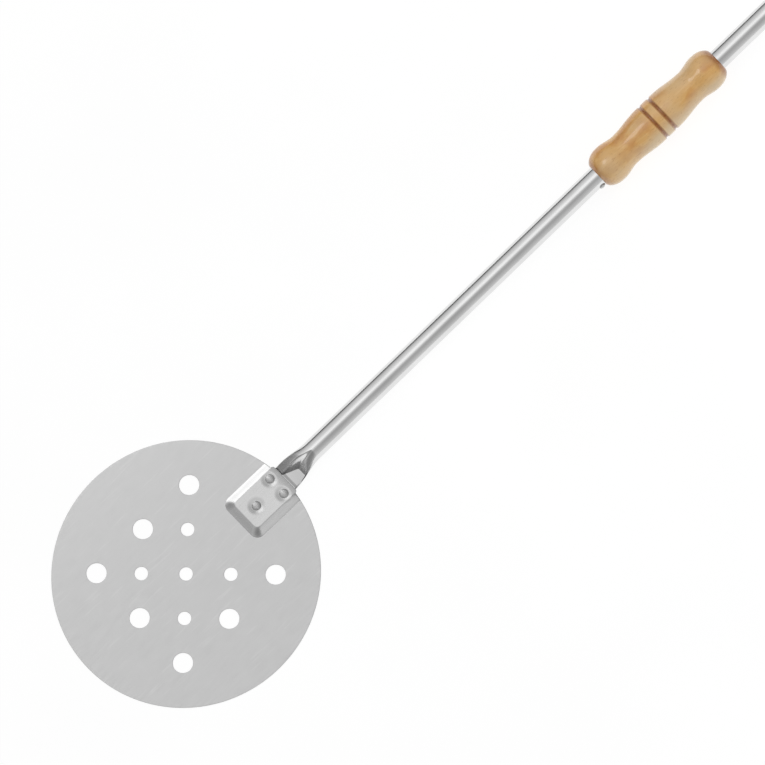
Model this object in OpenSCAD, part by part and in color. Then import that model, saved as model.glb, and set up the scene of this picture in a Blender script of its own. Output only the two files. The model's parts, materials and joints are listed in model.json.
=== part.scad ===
// Turning peel: a round perforated steel blade riveted to a tube pole, with a wooden grip that
// slides and turns on the pole and a wooden end grip. All sizes are in millimetres.
// Origin: centre of the blade's underside. +X runs along the pole, +Z is up.

/* [Overall] */
// Overall length, from the front edge of the blade to the end of the end grip
overall_l = 1200; // [1000:10:1500]

/* [Blade] */
// Diameter of the round blade
blade_d = 200; // [190:1:220]
// Thickness of the blade sheet
blade_t = 1.2; // [1:0.1:1.5]
// Distance from one row of large holes to the next
hole_pitch = 47; // [42:0.5:50]
// Diameter of the large holes
large_hole_d = 15; // [12:0.5:17]
// Diameter of the small holes
small_hole_d = 10; // [6:0.5:12]

/* [Socket cover] */
// Length of the cover along the pole
cover_l = 47; // [44:1:50]
// Width of the cover where it rests on the blade
cover_w = 39; // [37:0.5:42]
// Width of the flat top of the cover
cover_top_w = 27; // [26:0.5:28]
// Thickness of the cover sheet
cover_t = 1; // [0.8:0.1:1.2]

/* [Rivets] */
// Diameter of the domed rivet heads
rivet_head_d = 7; // [6:0.5:8]
// Diameter of the rivet shanks
rivet_d = 4.2; // [3:0.1:5]
// Distance between the two rivets at the mouth of the cover
rivet_pair_pitch = 15.2; // [14:0.2:16]
// Distance from the front rivet to the line of the pair
rivet_row_pitch = 20.8; // [18:0.2:22]

/* [Pole] */
// Outside diameter of the pole tube
pole_d = 16; // [15:0.5:17]
// Wall thickness of the pole tube
pole_wall = 1; // [0.8:0.1:1.2]
// Width of the flattened front end of the tube
tongue_w = 22; // [21:0.5:23]
// Length over which the tube goes from flat to round
neck_l = 28; // [24:1:36]

/* [Sliding grip] */
// Length of the sliding grip
grip_l = 121.8; // [118:0.2:128]
// Distance along the pole from the end of the neck to the middle of the sliding grip
grip_at = 351.6; // [340:0.2:365]
// Diameter at the middle of the grip
crown_d = 31.4; // [30:0.2:33]
// Diameter at the waists of the grip
waist_d = 26.8; // [26:0.2:28]
// Diameter at the bulbs near the ends of the grip
bulb_d = 31; // [30:0.2:33]
// Diameter of the end faces of the grip
end_face_d = 18.4; // [18.4:0.2:21]
// Depth of the two turned grooves
groove_depth = 0.9; // [0.5:0.1:1.2]

/* [Bushes] */
// Outside diameter of the bushes in the sliding grip
bush_d = 17.6; // [17.4:0.1:17.8]
// Length of one bush
bush_l = 20; // [16:0.5:22]

/* [End grip] */
// Diameter of the hanging hole
hang_hole_d = 8; // [6:0.5:9]
// Diameter of the cross pin through the end grip and the tube
pin_d = 3; // [2:0.5:4]

/* [Hidden] */

$fn = 96;
hull_fn = 32;
dome_steps = 6;
// how far cutting shapes reach past the faces that they cut
cut = 1;

// blade
blade_r = blade_d / 2;
row_half = hole_pitch / 2;
blade_fn = 180;

// clamped stack: blade, flattened tube, cover
tongue_t = 2 * pole_wall;
tongue_z = blade_t + tongue_t / 2;
cover_inner_z = blade_t + tongue_t;
cover_z = cover_inner_z + cover_t;

// cover: its mouth stands just past the blade's edge
mouth_reach = 1;
cover_mouth_x = blade_r + mouth_reach;
cover_front_x = cover_mouth_x - cover_l;
cover_corner_r = 7;
cover_front_slope = 4.5;
rim_at_cover = 0.2;

// rivets
rivet_pair_inset = 7.3;
rivet_pair_x = blade_r - rivet_pair_inset;
rivet_front_x = rivet_pair_x - rivet_row_pitch;
rivet_head_h = 1.2;
countersink_d = 7;
countersink_h = 0.9;

// pole: the tube's axis starts at the end of the neck and rises until the grip clears the table
tongue_inset = 7;
tongue_reach = 1;
tongue_front_x = cover_front_x + tongue_inset;
tongue_end_x = cover_mouth_x + tongue_reach;
tongue_corner_r = 5;
neck_x = tongue_end_x + neck_l;
table_gap = 0.2;
neck_z = pole_d / 2 + table_gap;
slice = 1;
seam = 0.15;
crush_gap = 0.1;
crush_w = tongue_w - 3 * tongue_t;

// sliding grip outline, measured from its middle
groove_s = 4.5;
groove_half_w = 1.3;
crown_s = 8;
waist_s = 33.5;
bulb_s = 47.5;
grip_half = grip_l / 2;
outline_steps = 8;
end_steps = 8;
grip_clearance = 0.5;
clear_r = pole_d / 2 + grip_clearance;

// running fits, as clearance on the radius
slide_clearance = 0.08;
spin_clearance = 0.05;
bush_recess = 0.8;
bush_end_play = 0.2;
seat_l = bush_recess + bush_l + bush_end_play;

// the front bulb of the sliding grip just clears the table, which sets how much the pole rises
front_bulb_s = grip_at - bulb_s;
pole_rise = atan2(bulb_d / 2, front_bulb_s)
          - asin((neck_z - table_gap / 2) / norm([bulb_d / 2, front_bulb_s]));

// end grip: the same outline, with a solid domed end behind the hanging hole
tail_l = 16;
tail_face_r = 4;
end_grip_at = (overall_l - blade_r - neck_x) / cos(pole_rise) - bulb_s - tail_l;
pole_l = end_grip_at + waist_s;
hang_s = bulb_s;
pin_sink = 0.5;

// stop rivet on the right-hand side of the tube, against the front face of the sliding grip
stop_head_d = 5;
stop_head_h = 1.4;
stop_shank_d = 3;
stop_tail_d = 4;
stop_tail_l = 3;
stop_tail_gap = 0.4;
stop_gap = 0.15;
stop_at = grip_at - grip_half - stop_gap - stop_head_d / 2;

// Puts its children on the pole's axis, s from the end of the neck, with local +X along the pole.
module on_pole(s) {
    translate([neck_x, 0, neck_z]) rotate([0, -pole_rise, 0]) translate([s, 0, 0]) children();
}

// Turns a shape built along +Z so that it lies along +X.
module along_x() {
    rotate([0, 90, 0]) children();
}

// Quarter ellipse from (w, 0) round to (0, h).
function quarter(w, h, steps) =
    [for (i = [0 : steps]) [w * cos(90 * i / steps), h * sin(90 * i / steps)]];

// Smooth step from a to b as u goes from 0 to 1.
function ease(a, b, u) = a + (b - a) * (1 - cos(180 * u)) / 2;

// ---- blade ----

// Places children at each large hole: a square's corners and three of its sides' middles.
module at_large_holes() {
    for (x = [-1 : 1], y = [-1 : 1])
        if ((x != 0 || y != 0) && !(x == 1 && y == 0))
            translate([x * hole_pitch, y * hole_pitch, 0]) children();
}

// Places children at each small hole: the centre and the middles of the inner squares.
module at_small_holes() {
    children();
    for (x = [-1, 1], y = [-1, 1]) translate([x * row_half, y * row_half, 0]) children();
}

module at_rivet(i) {
    spots = [[rivet_front_x, 0], [rivet_pair_x, rivet_pair_pitch / 2],
             [rivet_pair_x, -rivet_pair_pitch / 2]];
    translate([spots[i][0], spots[i][1], 0]) children();
}

module through_blade(d) {
    translate([0, 0, -cut]) cylinder(h = blade_t + 2 * cut, d = d);
}

module blade() {
    color("lightgray") difference() {
        cylinder(h = blade_t, d = blade_d, $fn = blade_fn);
        at_large_holes() through_blade(large_hole_d);
        at_small_holes() through_blade(small_hole_d);
        for (i = [0 : 2]) at_rivet(i) {
            cylinder(h = countersink_h, d1 = countersink_d, d2 = rivet_d);
            through_blade(rivet_d);
        }
    }
}

// ---- rivets ----

module cover_rivet(i) {
    head_r = rivet_head_d / 2;
    dome = [for (p = quarter(head_r, rivet_head_h, dome_steps)) [p[0], p[1] + cover_z]];
    color("silver") at_rivet(i) rotate_extrude() polygon(concat(
        [[0, 0], [countersink_d / 2, 0], [rivet_d / 2, countersink_h], [rivet_d / 2, cover_z]], dome));
}

module rivet_front() { cover_rivet(0); }
module rivet_left() { cover_rivet(1); }
module rivet_right() { cover_rivet(2); }

// ---- socket cover ----

// Pillow with rounded sides and a rounded front, standing on the blade; inset makes the inside.
module cover_form(inset) {
    half_w = cover_w / 2 - inset;
    flat_half_w = cover_top_w / 2 - inset / 2;
    h = cover_z - blade_t - inset;
    front = cover_front_x + inset;
    slope = cover_front_slope - inset / 2;
    side = [for (p = quarter(half_w - flat_half_w, h, outline_steps)) [p[0] + flat_half_w, p[1]]];
    section = concat(side, [for (i = [len(side) - 1 : -1 : 0]) [-side[i][0], side[i][1]]]);
    nose = [for (p = quarter(slope, h, outline_steps)) [front + slope - p[0], p[1]]];
    back_x = cover_mouth_x + inset;
    translate([0, 0, blade_t]) intersection() {
        translate([back_x, 0, 0]) rotate([90, 0, -90]) linear_extrude(back_x - front) polygon(section);
        rotate([90, 0, 0]) linear_extrude(cover_w, center = true)
            polygon(concat(nose, [[back_x, h], [back_x, 0]]));
        linear_extrude(h) cover_plan(half_w, front, back_x, cover_corner_r - inset);
    }
}

module cover_plan(half_w, front, back, corner_r) {
    translate([front + corner_r, -half_w]) square([back - front - corner_r, 2 * half_w]);
    translate([front, corner_r - half_w]) square([back - front, 2 * (half_w - corner_r)]);
    for (side = [-1, 1]) translate([front + corner_r, side * (half_w - corner_r)]) circle(corner_r);
}

module socket_cover() {
    color("whitesmoke") difference() {
        cover_form(0);
        cover_form(cover_t);
        for (i = [0 : 2]) at_rivet(i) cylinder(h = cover_z + cut, d = rivet_d);
        // the sides stop at the blade's edge, and only the flat top reaches past it
        difference() {
            translate([0, -cover_w, 0]) cube([2 * blade_r, 2 * cover_w, cover_z + cut]);
            translate([0, -cover_top_w / 2, -cut]) cube([2 * blade_r, cover_top_w, cover_z + 3 * cut]);
            translate([0, 0, -cut]) cylinder(h = cover_z + 3 * cut, r = blade_r - rim_at_cover);
        }
    }
}

// ---- pole ----

// Section of the flattened tube: a flat bar with half-round edges, inset all round by seam.
module tongue_section(inset) {
    square([tongue_t - 2 * inset, tongue_w - tongue_t], center = true);
    for (side = [-1, 1])
        translate([0, side * (tongue_w - tongue_t) / 2]) circle(d = tongue_t - 2 * inset);
}

module tongue() {
    length = tongue_end_x + slice - tongue_front_x;
    intersection() {
        translate([tongue_front_x, 0, tongue_z]) along_x() linear_extrude(length) tongue_section(0);
        linear_extrude(cover_z)
            cover_plan(tongue_w / 2, tongue_front_x, tongue_end_x + slice, tongue_corner_r);
    }
}

// Pressed neck: flat at the blade, round at the tube, hollow where the walls part. Each of its
// ends runs inside the wall of its neighbour.
module neck() {
    wall_inner_d = pole_d - 2 * pole_wall;
    difference() {
        hull() {
            on_pole(0) along_x() cylinder(h = slice, d = pole_d - 2 * seam, $fn = 2 * hull_fn);
            translate([tongue_end_x, 0, tongue_z]) along_x() linear_extrude(slice / 2)
                tongue_section(seam, $fn = hull_fn);
        }
        hull() {
            on_pole(0) along_x() cylinder(h = 2 * slice, d = wall_inner_d + 2 * seam, $fn = 2 * hull_fn);
            translate([tongue_end_x + 2 * slice, 0, tongue_z])
                cube([slice, crush_w, crush_gap], center = true);
        }
    }
}

module pole() {
    color("gainsboro") difference() {
        union() {
            tongue();
            neck();
            on_pole(slice / 2) along_x() difference() {
                cylinder(h = pole_l - slice / 2, d = pole_d);
                translate([0, 0, -cut])
                    cylinder(h = pole_l + 2 * cut, d = pole_d - 2 * pole_wall);
            }
        }
        for (i = [0 : 2]) at_rivet(i) cylinder(h = cover_z, d = rivet_d);
        on_pole(stop_at) rotate([90, 0, 0]) cylinder(h = pole_d, d = stop_shank_d);
        on_pole(end_grip_at - waist_s) rotate([90, 0, 0])
            cylinder(h = 2 * pole_d, d = pin_d, center = true);
    }
}

// Small blind rivet: domed head outside the tube, spread tail inside it.
module stop_rivet() {
    inner_r = pole_d / 2 - pole_wall;
    dome = [for (p = quarter(stop_head_d / 2, stop_head_h, dome_steps)) [p[0], p[1] + pole_d / 2]];
    color("gray") on_pole(stop_at) {
        // the head's underside is formed to the tube
        difference() {
            rotate([90, 0, 0]) rotate_extrude()
                polygon(concat([[0, inner_r], [stop_head_d / 2, inner_r]], dome));
            along_x() cylinder(h = 2 * stop_head_d, d = pole_d, center = true);
        }
        rotate([90, 0, 0]) translate([0, 0, inner_r - stop_tail_l]) {
            cylinder(h = stop_tail_l + pole_wall + stop_head_h / 2, d = stop_shank_d);
            cylinder(h = stop_tail_l - stop_tail_gap, d = stop_tail_d);
        }
    }
}

// ---- grips ----

// Half of the turned outline, from the middle to the widest point of the bulb, as [radius, distance] points.
function half_outline() = concat(
    [[crown_d / 2, 0], [crown_d / 2, groove_s - groove_half_w],
     [crown_d / 2 - groove_depth, groove_s], [crown_d / 2, groove_s + groove_half_w]],
    [for (i = [0 : outline_steps])
        [ease(crown_d, waist_d, i / outline_steps) / 2,
         crown_s + (waist_s - crown_s) * i / outline_steps]],
    [for (i = [1 : outline_steps])
        [ease(waist_d, bulb_d, i / outline_steps) / 2,
         waist_s + (bulb_s - waist_s) * i / outline_steps]]);

// Rounded end from the bulb to a flat face of radius face_r, length away.
function end_outline(length, face_r) = [for (i = [1 : end_steps])
    [face_r + (bulb_d / 2 - face_r) * cos(90 * i / end_steps),
     bulb_s + length * sin(90 * i / end_steps)]];

function forward(points) = [for (i = [len(points) - 1 : -1 : 0]) [points[i][0], -points[i][1]]];

front_outline = forward(concat(half_outline(), end_outline(grip_half - bulb_s, end_face_d / 2)));

// Bore of the sliding grip, from its rear face to its front face.
function slider_bore() = let (seat_r = bush_d / 2 + spin_clearance)
    [[seat_r, grip_half], [seat_r, grip_half - seat_l], [clear_r, grip_half - seat_l],
     [clear_r, seat_l - grip_half], [seat_r, seat_l - grip_half], [seat_r, -grip_half]];

module sliding_grip() {
    rear_outline = concat(half_outline(), end_outline(grip_half - bulb_s, end_face_d / 2));
    color("burlywood") on_pole(grip_at) along_x() rotate_extrude()
        polygon(concat(front_outline, rear_outline, slider_bore()));
}

module bush(end) {
    middle = end * (grip_half - bush_recess - bush_l / 2);
    color("saddlebrown") on_pole(grip_at + middle) along_x() difference() {
        cylinder(h = bush_l, d = bush_d, center = true);
        cylinder(h = bush_l + 2 * cut, r = pole_d / 2 + slide_clearance, center = true);
    }
}

module front_bush() { bush(-1); }
module rear_bush() { bush(1); }

module end_grip() {
    rear_outline = concat(half_outline(), end_outline(tail_l, tail_face_r));
    tail_s = bulb_s + tail_l;
    color("burlywood") on_pole(end_grip_at) difference() {
        along_x() rotate_extrude() polygon(concat(front_outline, rear_outline,
            [[0, tail_s], [0, waist_s], [pole_d / 2, waist_s], [pole_d / 2, -grip_half]]));
        translate([hang_s, 0, 0]) cylinder(h = 2 * bulb_d, d = hang_hole_d, center = true);
        translate([-waist_s, 0, 0]) rotate([90, 0, 0])
            cylinder(h = 2 * bulb_d, d = pin_d, center = true);
    }
}

module end_grip_pin() {
    color("silver") on_pole(end_grip_at - waist_s) rotate([90, 0, 0])
        cylinder(h = waist_d - 2 * pin_sink, d = pin_d, center = true);
}

blade();
socket_cover();
rivet_front();
rivet_left();
rivet_right();
pole();
stop_rivet();
front_bush();
rear_bush();
sliding_grip();
end_grip();
end_grip_pin();
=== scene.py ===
# Looks of a turning peel: a perforated steel blade riveted to a polished tube pole, with a
# turned wooden grip that slides and turns on the pole, and a wooden end grip.
# Lengths in this script are in millimetres where MM is applied, and in metres otherwise.

import math

import bmesh
import bpy
from mathutils import Matrix, Quaternion, Vector
from mathutils.geometry import delaunay_2d_cdt
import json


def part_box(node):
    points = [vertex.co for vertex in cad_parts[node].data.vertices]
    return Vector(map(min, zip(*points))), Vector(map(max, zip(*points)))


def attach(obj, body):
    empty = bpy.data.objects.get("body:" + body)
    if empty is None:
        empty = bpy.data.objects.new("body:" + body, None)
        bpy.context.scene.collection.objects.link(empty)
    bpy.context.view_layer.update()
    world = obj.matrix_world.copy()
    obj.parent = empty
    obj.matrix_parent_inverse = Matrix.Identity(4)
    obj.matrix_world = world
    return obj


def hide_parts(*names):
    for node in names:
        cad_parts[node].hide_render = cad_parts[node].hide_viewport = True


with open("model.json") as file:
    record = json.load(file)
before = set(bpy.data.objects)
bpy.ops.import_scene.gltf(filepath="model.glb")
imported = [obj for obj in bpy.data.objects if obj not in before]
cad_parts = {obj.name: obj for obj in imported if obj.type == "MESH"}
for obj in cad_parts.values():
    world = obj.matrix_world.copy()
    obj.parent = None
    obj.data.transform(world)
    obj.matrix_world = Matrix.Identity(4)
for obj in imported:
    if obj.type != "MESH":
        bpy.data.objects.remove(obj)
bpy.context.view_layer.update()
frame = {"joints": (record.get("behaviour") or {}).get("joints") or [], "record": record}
MM = 0.001

# ---------------------------------------------------------------- places taken from the frame

blade_low, blade_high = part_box("blade")
cover_low, cover_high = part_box("socket_cover")
BLADE_R = blade_high.x
BLADE_T = blade_high.z
RIVETS = {name: (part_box(name)[0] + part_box(name)[1]) / 2
          for name in ("rivet_front", "rivet_left", "rivet_right")}

turn = next(j for j in frame["joints"] if j["name"] == "grip_turn")
hang = next(m for m in frame["record"]["mounts"] if m["name"] == "hanging_hole")
along = Vector(turn["axis"]).normalized()
across = Vector((0, 1, 0))
above = along.cross(across)
GRIP_CENTRE = Vector(turn["pos_m"])


def pole_frame(point):
    """Frame with its origin at a point on the pole's axis, X along the pole and Z up from it."""
    return Matrix.Translation(point) @ Matrix((along, across, above)).transposed().to_4x4()


def on_axis(point):
    """The nearest point of the pole's axis."""
    return GRIP_CENTRE + along * (point - GRIP_CENTRE).dot(along)


def middle(node):
    low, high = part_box(node)
    return on_axis((low + high) / 2)


# sizes shared by the turned grips, from the middle of the grip
CROWN_R, WAIST_R, BULB_R = 15.7 * MM, 13.4 * MM, 15.5 * MM
CROWN_S, WAIST_S, BULB_S = 8 * MM, 33.5 * MM, 47.5 * MM
GRIP_HALF, FACE_R = 60.9 * MM, 9.2 * MM
GROOVE_S, GROOVE_W, GROOVE_DEPTH = 4.5 * MM, 1.3 * MM, 0.8 * MM
TAIL_L, TAIL_FACE_R = 16 * MM, 4 * MM
TUBE_R, WALL = 8 * MM, 1 * MM
END_CENTRE = on_axis(Vector(hang["pos_m"])) - along * BULB_S


# ---------------------------------------------------------------- camera, lights, floor

def place_camera():
    """Looks down steeply on the table, rolled so that the pole runs to the upper right."""
    elevation, azimuth, roll = math.radians(76.523), math.radians(-8.750), math.radians(-35.084)
    aim, distance = Vector((0.20155, 0.00256, 0)), 20.0077
    back = Vector((math.sin(azimuth) * math.cos(elevation),
                   -math.cos(azimuth) * math.cos(elevation), math.sin(elevation)))
    data = bpy.data.cameras.new("camera")
    data.lens, data.sensor_width, data.clip_end = 1281.755, 36, 200
    camera = bpy.data.objects.new("camera", data)
    bpy.context.scene.collection.objects.link(camera)
    camera.rotation_mode = "QUATERNION"
    camera.location = aim + back * distance
    camera.rotation_quaternion = (-back).to_track_quat("-Z", "Y") @ Quaternion((0, 0, 1), roll)
    bpy.context.scene.camera = camera


def node(tree, kind, inputs=None, **properties):
    made = tree.nodes.new(kind)
    for key, value in properties.items():
        setattr(made, key, value)
    for key, value in (inputs or {}).items():
        if isinstance(value, bpy.types.NodeSocket):
            tree.links.new(value, made.inputs[key])
        else:
            made.inputs[key].default_value = value
    return made


def math_node(tree, operation, a, b=0.0):
    return node(tree, "ShaderNodeMath", {0: a, 1: b}, operation=operation).outputs[0]


def ramp_node(tree, value, stops):
    """Colour ramp through (position, colour) stops, where a colour may be one grey level."""
    made = node(tree, "ShaderNodeValToRGB", {"Fac": value})
    elements = made.color_ramp.elements
    while len(elements) < len(stops):
        elements.new(0.5)
    for element, (position, colour) in zip(elements, stops):
        element.position = position
        element.color = (*colour, 1) if isinstance(colour, tuple) else (colour, colour, colour, 1)
    return made.outputs["Color"]


# The studio, as light level against the angle from straight up, seen along the pole: a long
# soft strip overhead, a grey wall on the right of the pole and a dark gap low on the left.
STUDIO = [(-100, 0.03), (-88, 0.04), (-78, 0.18), (-67, 0.5), (-48, 0.7), (-32, 0.8), (-20, 1.02),
          (-8, 1.13), (1, 1.0), (9, 0.75), (18, 0.53), (30, 0.43), (46, 0.48), (62, 0.56),
          (80, 0.66), (100, 0.76)]
STUDIO_EDGE = 100


def light_studio():
    world = bpy.data.worlds.new("studio")
    bpy.context.scene.world = world
    world.use_nodes = True
    tree = world.node_tree
    tree.nodes.clear()
    direction = node(tree, "ShaderNodeTexCoord").outputs["Generated"]
    parts = node(tree, "ShaderNodeSeparateXYZ", {0: direction})
    right = math_node(tree, "MULTIPLY", parts.outputs["Y"], -1.0)
    angle = math_node(tree, "ARCTAN2", right, parts.outputs["Z"])
    edge = math.radians(STUDIO_EDGE)
    position = node(tree, "ShaderNodeMapRange", {"Value": angle, "From Min": -edge, "From Max": edge})
    level = ramp_node(tree, position.outputs[0],
                      [((a + STUDIO_EDGE) / (2 * STUDIO_EDGE), v) for a, v in STUDIO])
    # darker towards both ends of the room, with X from -1 to 1 as 0 to 1
    place = math_node(tree, "MULTIPLY", math_node(tree, "ADD", parts.outputs["X"], 1.0), 0.5)
    ends = ramp_node(tree, place, [(0.28, 0.58), (0.45, 1.0), (0.57, 1.0), (0.66, 0.5), (1.0, 0.4)])
    light = node(tree, "ShaderNodeBackground",
                 {"Color": level, "Strength": ends}).outputs[0]
    wall = node(tree, "ShaderNodeBackground", {"Color": (1, 1, 1, 1), "Strength": 1.0}).outputs[0]
    seen = node(tree, "ShaderNodeLightPath").outputs["Is Camera Ray"]
    mixed = node(tree, "ShaderNodeMixShader", {0: seen, 1: light, 2: wall}).outputs[0]
    node(tree, "ShaderNodeOutputWorld", {"Surface": mixed})
    bpy.context.scene.view_settings.view_transform = "Standard"


def softbox(name, place, target, width, height, power, lit=(), mirrored=True):
    """Rectangular soft light, kept out of the picture, that lights everything or only some pieces
    and can be left out of mirror images."""
    data = bpy.data.lights.new(name, "AREA")
    data.shape, data.size, data.size_y, data.energy = "RECTANGLE", width, height, power
    light = bpy.data.objects.new(name, data)
    bpy.context.scene.collection.objects.link(light)
    light.location = place
    light.rotation_mode = "QUATERNION"
    light.rotation_quaternion = (place - target).to_track_quat("Z", "X")
    light.visible_camera = False
    light.visible_glossy = mirrored
    if lit:
        light.light_linking.receiver_collection = bpy.data.collections.new(name + "_lights")
        for piece in lit:
            light.light_linking.receiver_collection.objects.link(piece)


def hang_softboxes(metal, grips):
    """Low ones on both sides of the cover, a broad one behind the end grip, and one high up
    towards the blade for the gloss of the varnish."""
    cover_middle = (cover_low + cover_high) / 2
    softbox("key", cover_middle + Vector((0.02, 0.69, 0.42)), cover_middle, 0.8, 0.5, 1.5, metal)
    softbox("kicker", cover_middle + Vector((0.02, -0.53, 0.6)), cover_middle, 0.4, 0.42, 0.22, metal)
    softbox("fill", GRIP_CENTRE + Vector((1.3, -0.2, 1.1)), GRIP_CENTRE, 1.2, 1.2, 7, mirrored=False)
    softbox("gloss", GRIP_CENTRE + 3 * Vector((-0.26, 0.29, 0.92)), GRIP_CENTRE, 0.8, 1.1, 6, grips)


def lay_floor():
    """Pale glowing table top, bright enough to show white with only a trace of shadow."""
    mesh = bpy.data.meshes.new("floor")
    count, radius = 96, 60
    mesh.from_pydata([(radius * math.cos(math.tau * i / count), radius * math.sin(math.tau * i / count),
                       0) for i in range(count)], [], [list(range(count))])
    floor = bpy.data.objects.new("floor", mesh)
    bpy.context.scene.collection.objects.link(floor)
    material = bpy.data.materials.new("pale_floor")
    material.use_nodes = True
    tree = material.node_tree
    tree.nodes.clear()
    place = node(tree, "ShaderNodeTexCoord").outputs["Object"]
    mottle = node(tree, "ShaderNodeTexNoise", {"Vector": place, "Scale": 6.0, "Detail": 3.0})
    colour = ramp_node(tree, mottle.outputs["Fac"], [(0.3, 0.16), (0.7, 0.18)])
    shader = node(tree, "ShaderNodeBsdfPrincipled",
                  {"Base Color": colour, "Roughness": 0.9, "Specular IOR Level": 0.0,
                   "Emission Color": (1, 1, 1, 1), "Emission Strength": 0.9})
    node(tree, "ShaderNodeOutputMaterial", {"Surface": shader.outputs[0]})
    material.cycles.emission_sampling = "NONE"
    mesh.materials.append(material)


# ---------------------------------------------------------------- materials

def shade(red, green, blue):
    """Linear colour from display values of 0 to 255."""
    return tuple(v / 12.92 if v <= 0.04045 else ((v + 0.055) / 1.055) ** 2.4
                 for v in (red / 255, green / 255, blue / 255))


class Look:
    """One Principled material, with short calls for the textures that drive it."""

    def __init__(self, name, **sockets):
        self.material = bpy.data.materials.new(name)
        self.material.use_nodes = True
        self.tree = self.material.node_tree
        self.tree.nodes.clear()
        fixed = {key.replace("_", " "): value for key, value in sockets.items()}
        self.shader = node(self.tree, "ShaderNodeBsdfPrincipled", fixed)
        node(self.tree, "ShaderNodeOutputMaterial", {"Surface": self.shader.outputs[0]})
        self.place = self.attribute("local", "Vector")

    def attribute(self, name, output="Fac"):
        return node(self.tree, "ShaderNodeAttribute", attribute_name=name).outputs[output]

    def noise(self, scale, detail=3.0, roughness=0.5, distortion=0.0, turn=0.0):
        """Noise with its own scale, in features per metre, along each axis of the piece."""
        mapped = node(self.tree, "ShaderNodeMapping",
                      {"Vector": self.place, "Scale": scale, "Rotation": (0, 0, turn)})
        return node(self.tree, "ShaderNodeTexNoise",
                    {"Vector": mapped.outputs[0], "Scale": 1.0, "Detail": detail,
                     "Roughness": roughness, "Distortion": distortion}).outputs["Fac"]

    def ramp(self, value, *stops):
        return ramp_node(self.tree, value, list(stops))

    def spread(self, value, low, high, start=0.3, end=0.7):
        return node(self.tree, "ShaderNodeMapRange",
                    {"Value": value, "From Min": start, "From Max": end, "To Min": low,
                     "To Max": high}).outputs[0]

    def mix(self, factor, a, b):
        made = node(self.tree, "ShaderNodeMix", data_type="RGBA")
        for index, value in ((0, factor), (6, a), (7, b)):
            if isinstance(value, bpy.types.NodeSocket):
                self.tree.links.new(value, made.inputs[index])
            else:
                made.inputs[index].default_value = (*value, 1) if isinstance(value, tuple) else value
        return made.outputs[2]

    def math(self, operation, a, b=0.0):
        return math_node(self.tree, operation, a, b)

    def bump(self, height, depth, strength=1.0, under=None):
        inputs = {"Height": height, "Distance": depth, "Strength": strength}
        if under is not None:
            inputs["Normal"] = under
        return node(self.tree, "ShaderNodeBump", inputs).outputs[0]

    def set(self, **sockets):
        for key, value in sockets.items():
            self.tree.links.new(value, self.shader.inputs[key.replace("_", " ")])
        return self.material


def steel(name, grey, roughness, grain, depth, cloud=0.04, turn=0.0, pressed_to=None):
    """Stainless steel: fine directional grain over soft clouding, with a few brighter hairlines.
    It is duller where it was pressed flat, up to a place along the piece."""
    look = Look(name, Metallic=1.0)
    fine = look.noise(grain, detail=5, roughness=0.6, turn=turn)
    clouds = look.noise((38, 38, 38), detail=2)
    hair = look.noise(tuple(g * 0.55 + 3 for g in grain), detail=1, turn=turn)
    dull = look.ramp(clouds, (0.3, grey * (1 - cloud)), (0.7, grey * (1 + cloud)))
    bright = look.spread(hair, 0, 0.35, 0.63, 0.72)
    colour = look.mix(bright, dull, (min(1, grey * 1.12),) * 3)
    uneven = look.math("ADD", look.math("MULTIPLY", fine, 0.7), look.math("MULTIPLY", clouds, 0.3))
    rough = look.spread(uneven, roughness * 0.8, roughness * 1.2)
    if pressed_to is not None:
        reach = node(look.tree, "ShaderNodeSeparateXYZ", {0: look.place}).outputs["X"]
        worked = look.spread(look.math("ADD", reach, look.spread(clouds, -0.003, 0.003)), 1, 0,
                             pressed_to - 0.01, pressed_to + 0.01)
        colour = look.mix(worked, colour, look.ramp(clouds, (0.3, grey * 0.74), (0.7, grey * 0.84)))
        rough = look.math("ADD", rough, look.math("MULTIPLY", worked, 0.16))
    return look.set(Base_Color=colour, Roughness=rough, Normal=look.bump(fine, depth * MM))


def wood():
    """Light turned wood under clear varnish, with scorched grooves, browner towards the ends, and a
    painted reflection that makes the side towards -Y paler.
    """
    look = Look("varnished_wood", Coat_Weight=0.8, Coat_Roughness=0.13, Coat_IOR=1.65)
    wander = look.noise((60, 110, 110), detail=3)
    drift = look.noise((25, 45, 45), detail=2, turn=0.7)
    streaks = look.noise((22, 620, 620), detail=5, roughness=0.62, distortion=0.3)
    flecks = look.noise((300, 1500, 1500), detail=2, roughness=0.5)
    # Painted reflection: the grip is paler towards -Y, with a wandering edge, standing in for the white
    # floor's light bounced and reflected onto that side.
    side = node(look.tree, "ShaderNodeSeparateXYZ", {0: look.place}).outputs["Y"]
    pale_side_reflection = look.math("ADD", look.spread(side, 1, 0, -0.016, -0.006),
                        look.spread(wander, -0.3, 0.3))
    base = look.ramp(streaks, (0.28, shade(233, 179, 101)), (0.5, shade(241, 188, 112)),
                     (0.72, shade(247, 199, 128)))
    blotched = look.mix(look.spread(wander, 0, 0.95, 0.44, 0.62), base, shade(222, 150, 62))
    paled = look.mix(look.spread(drift, 0, 0.7, 0.42, 0.64), blotched, shade(238, 202, 150))
    # Painted reflection: mixes the pale colour into the -Y side.
    side_reflected = look.mix(look.spread(pale_side_reflection, 0, 0.7, 0, 1), paled, shade(228, 206, 164))
    flecked = look.mix(look.spread(flecks, 0, 0.4, 0.6, 0.74), side_reflected, shade(172, 116, 64))
    scorch = look.attribute("scorch")
    worn = look.math("MULTIPLY", scorch, look.spread(streaks, 0.75, 1.1))
    scorched = look.mix(worn, flecked, shade(156, 86, 12))
    pores = look.bump(flecks, 0.03 * MM, 0.5)
    return look.set(Base_Color=scorched, Roughness=look.spread(streaks, 0.34, 0.5),
                    Normal=look.bump(streaks, 0.05 * MM, 0.6, pores))


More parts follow.
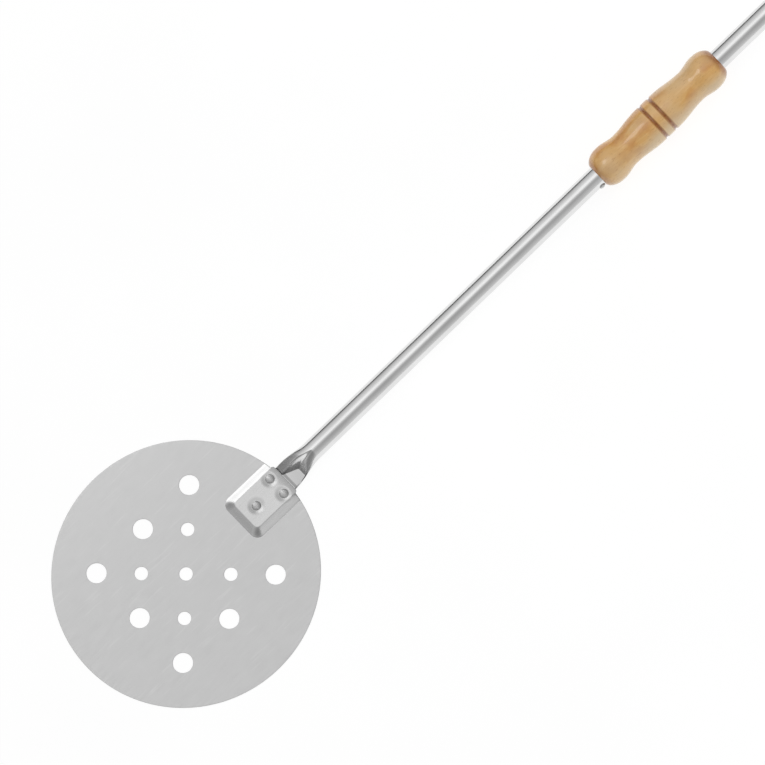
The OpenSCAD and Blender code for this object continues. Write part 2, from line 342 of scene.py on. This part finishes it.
def nylon():
    """Dark moulded nylon with a faint moulding texture and rubbed lighter patches."""
    look = Look("bush_nylon")
    grit = look.noise((1800, 1800, 1800), detail=3)
    rub = look.noise((140, 60, 60), detail=3)
    colour = look.ramp(rub, (0.35, shade(62, 44, 34)), (0.7, shade(86, 66, 52)))
    return look.set(Base_Color=colour, Roughness=look.spread(rub, 0.42, 0.58),
                    Normal=look.bump(grit, 0.02 * MM))


# ---------------------------------------------------------------- mesh building

def finish_piece(name, bm, material, body, nodes, local=None, scorch=None, crease=35):
    """Cleans a built mesh and makes it a piece."""
    bmesh.ops.remove_doubles(bm, verts=bm.verts, dist=1e-7)
    bmesh.ops.dissolve_degenerate(bm, edges=bm.edges, dist=1e-7)
    bmesh.ops.recalc_face_normals(bm, faces=bm.faces)
    mesh = bpy.data.meshes.new(name)
    bm.to_mesh(mesh)
    bm.free()
    return finish_mesh(name, mesh, material, body, nodes, local, scorch, crease)


def finish_mesh(name, mesh, material, body, nodes, local=None, scorch=None, crease=35):
    """Makes a mesh an object that stands for CAD nodes and rides on their body. Each vertex keeps
    its place in the piece's own axes for the textures and, for wood, how dark it is there."""
    mesh.shade_smooth()
    mesh.set_sharp_from_angle(angle=math.radians(crease))
    mesh.materials.clear()
    mesh.materials.append(material)
    inverse = (local or Matrix()).inverted()
    places = [inverse @ v.co for v in mesh.vertices]
    attribute = mesh.attributes.new("local", "FLOAT_VECTOR", "POINT")
    attribute.data.foreach_set("vector", [c for p in places for c in p])
    if scorch:
        attribute = mesh.attributes.new("scorch", "FLOAT", "POINT")
        attribute.data.foreach_set("value", [scorch(p) for p in places])
    piece = bpy.data.objects.new(name, mesh)
    bpy.context.scene.collection.objects.link(piece)
    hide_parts(*nodes)
    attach(piece, body)
    return piece


def closed_mesh(name, bm):
    """Mesh of a closed solid, with its faces turned outwards."""
    bmesh.ops.recalc_face_normals(bm, faces=bm.faces)
    mesh = bpy.data.meshes.new(name)
    bm.to_mesh(mesh)
    bm.free()
    return mesh


def evaluated_mesh(mesh, modifiers):
    """The mesh with a list of (modifier type, settings) applied."""
    scratch = bpy.data.objects.new("scratch", mesh)
    bpy.context.scene.collection.objects.link(scratch)
    for kind, settings in modifiers:
        modifier = scratch.modifiers.new(kind, kind)
        for key, value in settings.items():
            setattr(modifier, key, value)
    bpy.context.view_layer.update()
    graph = bpy.context.evaluated_depsgraph_get()
    made = bpy.data.meshes.new_from_object(scratch.evaluated_get(graph))
    bpy.data.objects.remove(scratch)
    return made


def bridge(bm, a, b):
    """Quads between two rings of vertices, where a ring of one vertex is a point."""
    count = max(len(a), len(b))
    for i in range(count):
        j = (i + 1) % count
        corners = []
        for ring, k in ((a, i), (a, j), (b, j), (b, i)):
            corner = ring[k % len(ring)]
            if corner not in corners:
                corners.append(corner)
        bm.faces.new(corners)


def turned(outline, matrix, steps=96, closed=False):
    """Turns an outline of (distance, radius) points about the X axis of a frame."""
    bm = bmesh.new()
    rings = []
    for s, r in outline:
        angles = [math.tau * i / steps for i in range(steps)] if r > 1e-7 else [0]
        rings.append([bm.verts.new(matrix @ Vector((s, r * math.cos(a), r * math.sin(a))))
                      for a in angles])
    for a, b in zip(rings, rings[1:]):
        bridge(bm, a, b)
    if closed:
        bridge(bm, rings[-1], rings[0])
    return bm


def arc(s, r, radius, start, end, steps=5):
    """Points of a rounded corner about (s, r), with angles in degrees from the +s direction."""
    return [(s + radius * math.cos(math.radians(start + (end - start) * i / steps)),
             r + radius * math.sin(math.radians(start + (end - start) * i / steps)))
            for i in range(steps + 1)]


def smooth(u):
    u = min(1.0, max(0.0, u))
    return u * u * (3 - 2 * u)


def eased(a, b, u):
    return a + (b - a) * (1 - math.cos(math.pi * u)) / 2


# ---------------------------------------------------------------- blade

LARGE_R, SMALL_R, PITCH = 7.5 * MM, 5 * MM, 47 * MM
SHANK_R, TAIL_R, TAIL_H = 2.1 * MM, 3.5 * MM, 0.9 * MM


def make_blade(material):
    """Round sheet with eased edges, its perforations and the three countersunk rivet holes."""
    ease_r, steps = 0.22 * MM, 4

    def edge(radius, sign):
        """Profile of a rounded sheet edge from the top face to the underside."""
        top = [(radius + sign * ease_r * (1 - math.sin(t)), BLADE_T - ease_r * (1 - math.cos(t)))
               for t in (math.pi / 2 * i / steps for i in range(steps + 1))]
        return top + [(r, BLADE_T - z) for r, z in reversed(top)]

    loops = [((0, 0), edge(BLADE_R, -1), 288)]
    for i in (-1, 0, 1):
        for j in (-1, 0, 1):
            if (i, j) not in ((0, 0), (1, 0)):
                loops.append(((i * PITCH, j * PITCH), edge(LARGE_R, 1), 72))
    for i, j in ((0, 0), (-0.5, -0.5), (-0.5, 0.5), (0.5, -0.5), (0.5, 0.5)):
        loops.append(((i * PITCH, j * PITCH), edge(SMALL_R, 1), 60))
    for place in RIVETS.values():
        loops.append(((place.x, place.y), [(SHANK_R, BLADE_T), (SHANK_R, TAIL_H), (TAIL_R, 0)], 48))

    bm = bmesh.new()
    ends = {0: [], -1: []}
    for (x, y), profile, count in loops:
        rings = [[bm.verts.new((x + r * math.cos(math.tau * k / count),
                                y + r * math.sin(math.tau * k / count), z)) for k in range(count)]
                 for r, z in profile]
        for a, b in zip(rings, rings[1:]):
            bridge(bm, a, b)
        for end in ends:
            ends[end].append(((x, y), profile[end][0], rings[end]))
    for rings in ends.values():
        fill_face(bm, rings)
    return finish_piece("blade_sheet", bm, material, "peel", ["blade"])


def fill_face(bm, rings):
    """Fills a flat round face whose first ring is its rim and whose other rings are holes."""
    z = rings[0][2][0].co.z
    margin, step = 0.35 * MM, 5 * MM
    points, edges, verts = [], [], []
    for _, _, ring in rings:
        start, count = len(points), len(ring)
        points += [v.co.xy for v in ring]
        verts += ring
        edges += [(start + k, start + (k + 1) % count) for k in range(count)]
    (_, rim_r, _), holes = rings[0], rings[1:]

    def clear(x, y, gap):
        return (math.hypot(x, y) < rim_r - gap
                and all(math.hypot(x - c[0], y - c[1]) > r + gap for c, r, _ in holes))

    extra = []
    for number, ((x, y), radius, ring) in enumerate(rings):
        near = radius + (margin if number else -margin)
        extra += [Vector((x + near * math.cos(math.tau * (k + 0.5) / len(ring)),
                          y + near * math.sin(math.tau * (k + 0.5) / len(ring))))
                  for k in range(len(ring))]
    rows = int(rim_r / step) + 1
    extra += [Vector((i * step + (j % 2) * step / 2, j * step * 0.866))
              for i in range(-rows, rows + 1) for j in range(-rows - 3, rows + 4)
              if clear(i * step + (j % 2) * step / 2, j * step * 0.866, 2 * MM)]
    points += extra
    verts += [bm.verts.new((p.x, p.y, z)) for p in extra]
    _, _, faces, origin, _, _ = delaunay_2d_cdt(points, edges, [], 0, 1e-9)
    placed = [verts[o[0]] for o in origin]
    for face in faces:
        corners = [placed[k] for k in face]
        centre = sum((v.co.xy for v in corners), Vector((0, 0))) / 3
        if clear(centre.x, centre.y, 0):
            bm.faces.new(corners)


# ---------------------------------------------------------------- socket cover and rivets

COVER_SLOPE, COVER_CORNER = 6.5 * MM, 7 * MM
COVER_BASE, COVER_TOP = BLADE_T, cover_high.z
COVER_HALF = cover_high.y
DIMPLE, DIMPLE_R = 0.65 * MM, 7.8 * MM
DROOP, DROOP_L = 0.9 * MM, 8.5 * MM


def dimple(x, y):
    """How far the sheet is drawn down round the rivets."""
    depth = 0.0
    for place in RIVETS.values():
        reach = math.hypot(x - place.x, y - place.y)
        depth = max(depth, DIMPLE * (1 - smooth((reach - 2 * MM) / (DIMPLE_R - 2 * MM))))
    return depth


def sunk(x, y):
    """How far the sheets lie below their highest level: dimpled, and drooping at the mouth."""
    droop = min(1.0, max(0.0, (x - (cover_high.x - DROOP_L)) / DROOP_L))
    return max(dimple(x, y), DROOP * droop ** 1.6)


def slope_height(u):
    """Height of the pressed slope at share u of its width, easing in and out."""
    return 0.7 * u + 0.3 * smooth(u)


def cover_mouth(y):
    """X of the mouth: the sides end at the blade's rim, and the flat top reaches past it."""
    side = math.sqrt((BLADE_R - 0.2 * MM) ** 2 - y * y)
    flat = COVER_HALF - COVER_SLOPE
    return side + (cover_high.x - side) * smooth((flat + 1 * MM - abs(y)) / (2 * MM))


def make_cover(material):
    """Pressed cover: rings from the outline on the blade, up the rounded sides and over the top."""
    front_x, corner_loss = cover_low.x, 3.4 * MM
    slope_steps, top_steps, side_steps, corner_steps, front_steps = 18, 24, 72, 10, 20
    rings = []
    for k in range(slope_steps + 1):
        share = k / slope_steps
        rings.append((front_x + COVER_SLOPE * share, COVER_HALF - COVER_SLOPE * share,
                      COVER_CORNER - corner_loss * share,
                      COVER_BASE + (COVER_TOP - COVER_BASE) * slope_height(share)))
    edge_front, edge_half, edge_corner, _ = rings[-1]
    for k in range(1, top_steps + 1):
        inset = edge_half * k / top_steps
        rings.append((edge_front + inset, edge_half - inset, max(0.0, edge_corner - inset), COVER_TOP))

    bm = bmesh.new()
    grid = []
    for front, half, corner, z in rings:
        path = []
        mouth, start = cover_mouth(half), front + corner
        for i in range(side_steps + 1):
            path.append((mouth + (start - mouth) * i / side_steps, half))
        for i in range(1, corner_steps + 1):
            turn_in = math.pi / 2 * i / corner_steps
            path.append((front + corner * (1 - math.sin(turn_in)),
                         half - corner * (1 - math.cos(turn_in))))
        straight = half - corner
        path += [(front, straight * (1 - i / front_steps)) for i in range(1, front_steps + 1)]
        path += [(x, -y) for x, y in reversed(path[:-1])]
        grid.append([bm.verts.new((x, y, z - sunk(x, y) * (z - COVER_BASE) / (COVER_TOP - COVER_BASE)))
                     for x, y in path])
    for a, b in zip(grid, grid[1:]):
        for i in range(len(a) - 1):
            bm.faces.new((a[i], a[i + 1], b[i + 1], b[i]))
    bmesh.ops.remove_doubles(bm, verts=bm.verts, dist=1e-7)
    bmesh.ops.dissolve_degenerate(bm, edges=bm.edges, dist=1e-7)
    bmesh.ops.recalc_face_normals(bm, faces=bm.faces)
    if sum(f.normal.z for f in bm.faces) < 0:
        bmesh.ops.reverse_faces(bm, faces=bm.faces)
    sheet = bpy.data.meshes.new("cover_sheet")
    bm.to_mesh(sheet)
    bm.free()
    mesh = evaluated_mesh(sheet, [
        ("SOLIDIFY", {"thickness": 0.95 * MM, "offset": -1}),
        ("BEVEL", {"width": 0.18 * MM, "segments": 2, "limit_method": "ANGLE",
                   "angle_limit": math.radians(50)})])
    return finish_mesh("cover_shell", mesh, material, "peel", ["socket_cover"])


def make_rivet(node_name, piece_name, material):
    """Solid rivet: domed head seated in its dimple, shank, and tail spread flush with the blade."""
    place = RIVETS[node_name]
    low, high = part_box(node_name)
    head_r = (high.x - low.x) / 2
    seat, top = COVER_TOP - DIMPLE, high.z - 0.3 * MM
    edge, tail_edge, steps = 0.12 * MM, 0.22 * MM, 12
    dome = [(seat + edge + (top - seat - edge) * math.sin(math.pi / 2 * k / steps),
             head_r * math.cos(math.pi / 2 * k / steps)) for k in range(steps)]
    outline = ([(0, 0), (0, TAIL_R - 0.5 * MM)]
               + arc(tail_edge, TAIL_R - 0.32 * MM, tail_edge, 180, 90, 4)
               + [(TAIL_H, SHANK_R), (seat, SHANK_R), (seat, head_r - 0.15 * MM)] + dome
               + [(top, 0)])
    upright = Matrix.Translation((place.x, place.y, 0)) @ Matrix.Rotation(-math.pi / 2, 4, "Y")
    return finish_piece(piece_name, turned(outline, upright, 64), material, "peel",
                        [node_name], local=upright)


# ---------------------------------------------------------------- pole

TONGUE_HALF, TONGUE_T = 11 * MM, 2 * MM
TONGUE_Z = BLADE_T + TONGUE_T / 2
NECK_START = cover_high.x + 0.2 * MM
NECK_LENGTH = 28.8 * MM
RAMP_LEFT, RAMP_RIGHT, RAMP_DELAY, RAMP_STOP = 4.5 * MM, -2.5 * MM, 0.42, 0.66


def section(half, radius, count=192):
    """Flat bar with round edges, as (across, up) points that match those of a circle."""
    straight = half - radius
    quarter = count // 12
    points = []
    for k in range(count):
        part, step = divmod(k, count // 2)
        if step < 2 * quarter:      # round edge
            a = math.pi * (step / (2 * quarter) - 0.5)
            point = (straight + radius * math.cos(a), radius * math.sin(a))
        else:                       # flat
            u = (step - 2 * quarter) / (count // 2 - 2 * quarter)
            point = (straight * (1 - 2 * u), radius)
        points.append((-point[0], -point[1]) if part else point)
    return points


def circle(radius, count=192):
    """Circle whose points start where those of a flat section do."""
    quarter = count // 12
    points = []
    for k in range(count):
        part, step = divmod(k, count // 2)
        if step < 2 * quarter:
            a = math.pi / 2 * (step / (2 * quarter) - 0.5)
        else:
            a = math.pi / 4 + math.pi / 2 * (step - 2 * quarter) / (count // 2 - 2 * quarter)
        a += math.pi * part
        points.append((radius * math.cos(a), radius * math.sin(a)))
    return points


def make_pole(material):
    """Tube whose front end is pressed flat for the rivets and opens out to round behind them."""
    axis_start = on_axis(Vector((NECK_START + NECK_LENGTH, 0, 0)))
    end = END_CENTRE + along * WAIST_S
    flat_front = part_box("pole")[0].x
    tip_l, flat_steps, neck_steps, tube_steps = 5 * MM, 41, 72, 40
    inner_neck_steps, inner_stop, inner_stride = 48, 3, 3
    bm = bmesh.new()

    def ring(origin, x_axis, points):
        up = x_axis.cross(across)
        return [bm.verts.new(origin + across * y + up * z) for y, z in points]

    def neck_ring(u, inset):
        """Section at share u of the neck, drawn in by inset. The top wall starts to rise at the
        cover's mouth on the left of the pole, and stays flat for longer on the right."""
        grow = eased(0, 1, u)
        flat, full = section(TONGUE_HALF - inset, TONGUE_T / 2 - inset), circle(TUBE_R - inset)
        axis = Vector((NECK_START, 0, 0)).lerp(axis_start, u)
        axis.z = axis_start.z
        upright = Vector((1, 0, 0)).lerp(along, u).cross(across)
        made = []
        for (y0, z0), (y1, z1) in zip(flat, full):
            right = smooth((RAMP_LEFT - y0) / (RAMP_LEFT - RAMP_RIGHT))
            start, stop = RAMP_DELAY * right, RAMP_STOP + (1 - RAMP_STOP) * right
            climb = min(1, max(0, (u - start) / (stop - start)))
            top_grow = climb if climb in (0, 1) else 1 - (1 - climb) ** 1.4 * (1 - 0.3 * climb)
            rise = grow + (top_grow - grow) * smooth(z1 / TUBE_R * 1.6)
            pressed = DROOP * (1 - smooth(u * 11)) if z0 > 0 else 0
            low, high = TONGUE_Z + z0 - pressed, axis.z + upright.z * z1
            made.append(bm.verts.new((axis.x + upright.x * z1 * grow, y0 + (y1 - y0) * grow,
                                      low + (high - low) * rise)))
        return made

    rings = []
    front = Vector((flat_front, 0, TONGUE_Z))
    for share, width in ((0, 0.72), (0.15, 0.85), (0.5, 0.96), (1, 1)):
        rings.append(ring(front + Vector((tip_l * share, 0, 0)), Vector((1, 0, 0)),
                          [(y * width, z * (0.6 + 0.4 * min(1, share * 4)))
                           for y, z in section(TONGUE_HALF, TONGUE_T / 2)]))
    reach = NECK_START - flat_front - tip_l
    for k in range(1, flat_steps):
        x = flat_front + tip_l + reach * k / flat_steps
        made = ring(Vector((x, 0, TONGUE_Z)), Vector((1, 0, 0)), section(TONGUE_HALF, TONGUE_T / 2))
        for v in made:
            if v.co.z > TONGUE_Z:
                v.co.z -= sunk(v.co.x, v.co.y) * (v.co.z - TONGUE_Z) / (TONGUE_T / 2)
        rings.append(made)
    rings += [neck_ring(k / neck_steps, 0) for k in range(neck_steps + 1)]
    stations = [axis_start + (end - axis_start) * k / tube_steps for k in range(1, tube_steps + 1)]
    rings += [ring(station, along, circle(TUBE_R)) for station in stations]
    rings += [ring(station, along, circle(TUBE_R - WALL)) for station in reversed(stations)]
    for k in range(inner_neck_steps, inner_stop, -inner_stride):
        share = k / inner_neck_steps
        rings.append(neck_ring(share, WALL * (0.5 + 0.5 * share)))
    for a, b in zip(rings, rings[1:]):
        bridge(bm, a, b)
    for last in (rings[0], rings[-1]):
        bm.faces.new(last)
    local = pole_frame(GRIP_CENTRE)
    return finish_piece("pole_tube", bm, material, "peel", ["pole"], local=local,
                        crease=32)


def cross_frame(point, turn_over):
    """Frame on the pole's axis whose X points across it, to the right or to the left."""
    x = -across if turn_over else across
    return Matrix.Translation(point) @ Matrix((x, along, x.cross(along))).transposed().to_4x4()


def make_stop_rivet(material):
    """Blind rivet in the side of the tube, its low domed head against the grip's front face."""
    low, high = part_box("stop_rivet")
    head_r, head_h, shank_r, lift, steps = 2.5 * MM, 1.4 * MM, 1.5 * MM, 0.1 * MM, 10
    place = on_axis(Vector(((low.x + high.x) / 2, 0, 0)))
    seat = TUBE_R - 0.3 * MM
    dome = [(TUBE_R + lift + (head_h - lift) * math.sin(math.pi / 2 * k / steps),
             head_r * math.cos(math.pi / 2 * k / steps)) for k in range(steps - 1)]
    rim = TUBE_R + head_h
    outline = ([(4.2 * MM, 0)] + arc(4.8 * MM, 1.4 * MM, 0.6 * MM, 180, 90, 3)
               + [(6.6 * MM, 2 * MM), (6.7 * MM, shank_r), (seat, shank_r), (seat, head_r)]
               + dome + [(rim - 0.12 * MM, 0.34 * MM), (rim - 0.4 * MM, 0.26 * MM), (rim - 0.4 * MM, 0)])
    matrix = cross_frame(place, True)
    return finish_piece("stop_rivet_turned", turned(outline, matrix, 48), material,
                        "peel", ["stop_rivet"], local=matrix)


def make_cross_pin(material):
    low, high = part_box("end_grip_pin")
    half, radius, chamfer = (high.y - low.y) / 2, 1.5 * MM, 0.25 * MM
    outline = [(-half, 0), (-half, radius - chamfer), (-half + chamfer, radius),
               (half - chamfer, radius), (half, radius - chamfer), (half, 0)]
    matrix = cross_frame(middle("end_grip_pin"), False)
    return finish_piece("end_grip_cross_pin", turned(outline, matrix, 40), material,
                        "peel", ["end_grip_pin"], local=matrix)


# ---------------------------------------------------------------- grips and bushes

def grip_radius(s):
    """Radius of the turned body at a distance from its middle, up to the bulb."""
    s = abs(s)
    if s < CROWN_S:
        radius = CROWN_R
    elif s < WAIST_S:
        radius = eased(CROWN_R, WAIST_R, (s - CROWN_S) / (WAIST_S - CROWN_S))
    else:
        radius = eased(WAIST_R, BULB_R, min(1, (s - WAIST_S) / (BULB_S - WAIST_S)))
    gap = abs(s - GROOVE_S) / GROOVE_W
    if gap < 1:
        radius -= GROOVE_DEPTH * (1 - gap ** 2.4)
    return radius


def body_outline():
    """From the front bulb to the rear one, close-set where the grooves are cut."""
    fine, coarse, fine_reach = 0.14 * MM, 1.1 * MM, 7 * MM
    distances = [k * fine for k in range(50)] + [fine_reach + k * coarse for k in range(41)]
    distances = [s for s in distances if s < BULB_S]
    half = [(s, grip_radius(s)) for s in distances] + [(BULB_S, BULB_R)]
    return [(-s, r) for s, r in reversed(half[1:])] + half


def rounded_end(length, face_r, steps=18):
    """Points from the bulb round to the edge of the end face."""
    shares = [math.sin(math.pi / 2 * k / steps) for k in range(1, steps + 1)]
    return [(BULB_S + length * u, face_r + (BULB_R - face_r) * max(0, 1 - u ** 2.5) ** 0.714)
            for u in shares]


def scorch_at(place, tail=False):
    """How dark the wood is: burnt in the grooves, and browner towards the ends and on the end
    faces, most of all at the rear, and round the hanging hole."""
    s, radius = abs(place.x), math.hypot(place.y, place.z)
    dark = 0.0
    if radius > WAIST_R:
        dark = max(0.0, 1 - (abs(s - GROOVE_S) / (GROOVE_W * 1.6)) ** 2)
    rear = tail and place.x > 0
    start, end = (58 * MM, 65 * MM) if rear else (54 * MM, GRIP_HALF)
    browning = 1.0 if place.x > 0 else 0.6
    dark = max(dark, browning * smooth((s - start) / (end - start)))
    if radius < 10 * MM and not rear:
        dark = max(dark, 0.55)
    if tail and math.hypot(place.x - BULB_S, place.y) < 4.5 * MM:
        dark = max(dark, 0.5)
    return dark


def make_sliding_grip(material):
    """Turned grip with a bush seat bored into each end."""
    seat_r, bore_r, seat_l, lip = 8.85 * MM, 8.5 * MM, 21 * MM, 0.3 * MM
    end = rounded_end(GRIP_HALF - BULB_S, FACE_R)
    rear = end + [(GRIP_HALF, seat_r + lip), (GRIP_HALF - lip, seat_r), (GRIP_HALF - seat_l, seat_r),
                  (GRIP_HALF - seat_l, bore_r)]
    outline = [(-s, r) for s, r in reversed(rear)] + body_outline() + rear
    matrix = pole_frame(GRIP_CENTRE)
    return finish_piece("sliding_grip_wood", turned(outline, matrix, 120, closed=True), material,
                        "grip", ["sliding_grip"], local=matrix, scorch=scorch_at,
                        crease=40)


def make_end_grip(material):
    """Turned grip bored for the tube from the front, with the hanging hole through its rear bulb."""
    bore_r, lip = TUBE_R + 0.02 * MM, 0.3 * MM
    front = rounded_end(GRIP_HALF - BULB_S, FACE_R)
    tail = rounded_end(TAIL_L, TAIL_FACE_R, 22)
    outline = ([(WAIST_S, 0), (WAIST_S, bore_r), (lip - GRIP_HALF, bore_r), (-GRIP_HALF, bore_r + lip)]
               + [(-s, r) for s, r in reversed(front)] + body_outline() + tail
               + [(BULB_S + TAIL_L, 0)])
    matrix = pole_frame(END_CENTRE)
    solid = closed_mesh("end_grip_solid", turned(outline, matrix, 120))

    hole_r, straight, reach, flare, flare_steps = 4 * MM, 13.6 * MM, 18 * MM, 2.42 * MM, 5
    half = [(0, hole_r), (straight, hole_r)]
    half += [(straight + (reach - straight) * k / flare_steps,
              hole_r + flare * (k / flare_steps) ** 1.6) for k in range(1, flare_steps + 1)]
    drill_outline = [(-reach, 0)] + [(-s, r) for s, r in reversed(half[1:])] + half + [(reach, 0)]
    drill_frame = (matrix @ Matrix.Translation((BULB_S, 0, 0))
                   @ Matrix.Rotation(-math.pi / 2, 4, "Y"))
    pin_reach, pin_r = 20 * MM, 1.5 * MM
    pin_outline = [(-pin_reach, 0), (-pin_reach, pin_r), (pin_reach, pin_r), (pin_reach, 0)]
    cutters = []
    for cut_outline, cut_frame in ((drill_outline, drill_frame),
                                   (pin_outline, cross_frame(middle("end_grip_pin"), False))):
        cutter_mesh = closed_mesh("cutter", turned(cut_outline, cut_frame, 64))
        cutter = bpy.data.objects.new("cutter", cutter_mesh)
        bpy.context.scene.collection.objects.link(cutter)
        cutters.append(cutter)
    mesh = evaluated_mesh(solid, [("BOOLEAN", {"operation": "DIFFERENCE", "solver": "EXACT",
                                               "object": cutter}) for cutter in cutters])
    for cutter in cutters:
        bpy.data.objects.remove(cutter)
    return finish_mesh("end_grip_wood", mesh, material, "peel", ["end_grip"],
                       local=matrix, scorch=lambda place: scorch_at(place, tail=True), crease=40)


def make_bush(node_name, piece_name, outward, material):
    """Bush with eased rims, and a shallow ring moulded into its outer face."""
    half, outer, inner, rim = 10 * MM, 8.8 * MM, 8.08 * MM, 0.15 * MM
    ring_outer, ring_inner, ring_depth, ring_slope = 8.6 * MM, 8.32 * MM, 0.12 * MM, 0.08 * MM
    outline = [(-half, inner + rim), (-half, outer - rim), (-half + rim, outer), (half - rim, outer),
               (half, outer - rim), (half, ring_outer), (half - ring_depth, ring_outer - ring_slope),
               (half - ring_depth, ring_inner + ring_slope), (half, ring_inner),
               (half, inner + rim), (half - rim, inner), (-half + rim, inner)]
    matrix = pole_frame(middle(node_name))
    if not outward:
        matrix = matrix @ Matrix.Rotation(math.pi, 4, "Z")
    return finish_piece(piece_name, turned(outline, matrix, 96, closed=True), material,
                        "grip_bushes", [node_name], local=matrix)


# ---------------------------------------------------------------- the scene

place_camera()
light_studio()
lay_floor()

blade_steel = steel("blade_steel", 0.625, 0.36, (60, 900, 900), 0.004, cloud=0.02)
cover_steel = steel("cover_steel", 0.61, 0.25, (120, 900, 900), 0.003)
pressed_end = (Vector((cover_high.x + 18 * MM, 0, 0)) - GRIP_CENTRE).dot(along)
pole_steel = steel("pole_steel", 0.77, 0.13, (6, 1100, 1100), 0.002, pressed_to=pressed_end)
rivet_steel = steel("rivet_steel", 0.62, 0.5, (500, 500, 500), 0.006)
grip_wood = wood()
bush_nylon = nylon()

blade = make_blade(blade_steel)
cover = make_cover(cover_steel)
rivets = [make_rivet(name, name + "_solid", rivet_steel) for name in RIVETS]
make_pole(pole_steel)
make_stop_rivet(rivet_steel)
make_cross_pin(rivet_steel)
sliding_grip = make_sliding_grip(grip_wood)
end_grip = make_end_grip(grip_wood)
make_bush("front_bush", "front_bush_ring", False, bush_nylon)
make_bush("rear_bush", "rear_bush_ring", True, bush_nylon)
hang_softboxes([blade, cover, *rivets], [sliding_grip, end_grip])
